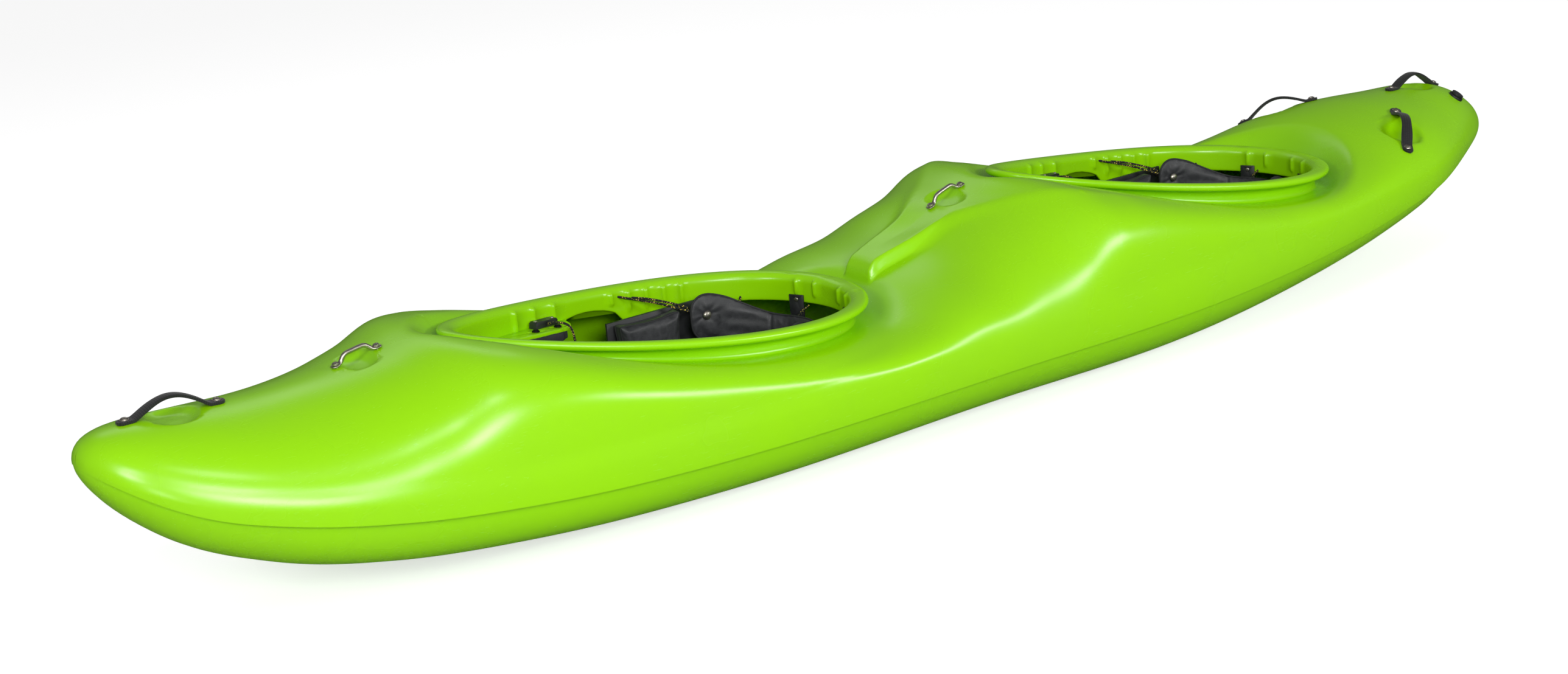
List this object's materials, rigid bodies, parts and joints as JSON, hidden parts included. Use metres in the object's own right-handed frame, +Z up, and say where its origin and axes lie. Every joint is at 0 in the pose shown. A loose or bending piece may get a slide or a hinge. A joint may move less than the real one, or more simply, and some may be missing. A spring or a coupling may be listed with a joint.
{
  "type": "tandem kayak",
  "caption": "Hollow moulded tandem river kayak with padded cockpits, adjustable backbands, thigh pads and foot bulkheads, grab handles, security bars and a drain plug.",
  "frame": {"origin": "under the middle of the hull, on the surface that it rests on", "axes": "+X towards the bow, +Y towards the port side, +Z up"},
  "size_m": [3.66, 0.73, 0.4398],
  "materials": {
    "polyethylene": "semi-gloss moulded skin",
    "webbing": "woven webbing",
    "steel": "polished rod and screws",
    "black_plastic": "moulded, matte",
    "rubber": "matte",
    "foam": "closed-cell foam",
    "pad_cover": "coated cloth over foam",
    "cord": "braided cord with flecks",
    "aluminium": "plain plate and bar"
  },
  "bodies": {
    "hull": {"hull_shell": "polyethylene", "front_port_thigh_hook": "polyethylene", "front_starboard_thigh_hook": "polyethylene", "rear_port_thigh_hook": "polyethylene", "rear_starboard_thigh_hook": "polyethylene", "bow_handle": "webbing", "stern_handle": "webbing", "port_quarter_handle": "webbing", "starboard_quarter_handle": "webbing", "front_rear_straps": "webbing", "rear_rear_straps": "webbing", "handle_screws": "steel", "front_security_bar": "steel", "mid_security_bar": "steel", "security_bar_bolts": "steel", "front_strap_rivets": "steel", "front_cleat_screws": "steel", "rear_strap_rivets": "steel", "rear_cleat_screws": "steel", "drain_socket": "black_plastic", "front_seat_pan": "black_plastic", "front_cleats": "black_plastic", "rear_seat_pan": "black_plastic", "rear_cleats": "black_plastic", "bow_foam_pillar": "foam", "stern_foam_pillar": "foam", "front_seat_pad": "foam", "rear_seat_pad": "foam", "front_port_hip_pad": "pad_cover", "front_starboard_hip_pad": "pad_cover", "rear_port_hip_pad": "pad_cover", "rear_starboard_hip_pad": "pad_cover", "front_adjust_cords": "cord", "front_support_cords": "cord", "front_cleat_cords": "cord", "rear_adjust_cords": "cord", "rear_support_cords": "cord", "rear_cleat_cords": "cord", "front_foot_rails": "aluminium", "rear_foot_rails": "aluminium"},
    "drain_plug": {"drain_plug": "black_plastic", "drain_gasket": "rubber"},
    "front_backband": {"front_backband": "pad_cover", "front_backband_pivots": "steel"},
    "front_port_thigh_pad": {"front_port_thigh_pad": "foam", "front_port_thigh_bolts": "steel"},
    "front_starboard_thigh_pad": {"front_starboard_thigh_pad": "foam", "front_starboard_thigh_bolts": "steel"},
    "front_foot_bulkhead": {"front_foot_bulkhead": "aluminium", "front_foot_pad": "foam"},
    "rear_backband": {"rear_backband": "pad_cover", "rear_backband_pivots": "steel"},
    "rear_port_thigh_pad": {"rear_port_thigh_pad": "foam", "rear_port_thigh_bolts": "steel"},
    "rear_starboard_thigh_pad": {"rear_starboard_thigh_pad": "foam", "rear_starboard_thigh_bolts": "steel"},
    "rear_foot_bulkhead": {"rear_foot_bulkhead": "aluminium", "rear_foot_pad": "foam"}
  },
  "joints": [
    {"name": "front_backband_tilt", "type": "hinge", "parent": "hull", "child": "front_backband", "pos_m": [0.431, 0, 0.251], "axis": [0, 1, 0], "range_deg": [-15, 20], "deforming": ["front_adjust_cords", "front_support_cords"]},
    {"name": "front_port_thigh_pad_slide", "type": "slide", "parent": "hull", "child": "front_port_thigh_pad", "axis": [0.9923, 0, 0.124], "range_m": [-0.015, 0.015]},
    {"name": "front_starboard_thigh_pad_slide", "type": "slide", "parent": "hull", "child": "front_starboard_thigh_pad", "axis": [0.9923, 0, 0.124], "range_m": [-0.015, 0.015]},
    {"name": "front_foot_bulkhead_slide", "type": "slide", "parent": "hull", "child": "front_foot_bulkhead", "axis": [0.9929, 0, 0.1191], "range_m": [-0.05, 0.05]},
    {"name": "rear_backband_tilt", "type": "hinge", "parent": "hull", "child": "rear_backband", "pos_m": [-0.936, 0, 0.26], "axis": [0, 1, 0], "range_deg": [-15, 20], "deforming": ["rear_adjust_cords", "rear_support_cords"]},
    {"name": "rear_port_thigh_pad_slide", "type": "slide", "parent": "hull", "child": "rear_port_thigh_pad", "axis": [0.9882, 0, 0.1532], "range_m": [-0.015, 0.015]},
    {"name": "rear_starboard_thigh_pad_slide", "type": "slide", "parent": "hull", "child": "rear_starboard_thigh_pad", "axis": [0.9882, 0, 0.1532], "range_m": [-0.015, 0.015]},
    {"name": "rear_foot_bulkhead_slide", "type": "slide", "parent": "hull", "child": "rear_foot_bulkhead", "axis": [0.9929, 0, 0.1191], "range_m": [-0.05, 0.05]},
    {"name": "drain_plug_turn", "type": "hinge", "parent": "hull", "child": "drain_plug", "pos_m": [-1.68, 0.088, 0.34275], "axis": [-0.3253, 0.4956, 0.8053], "range_deg": [0, 270]}
  ]
}
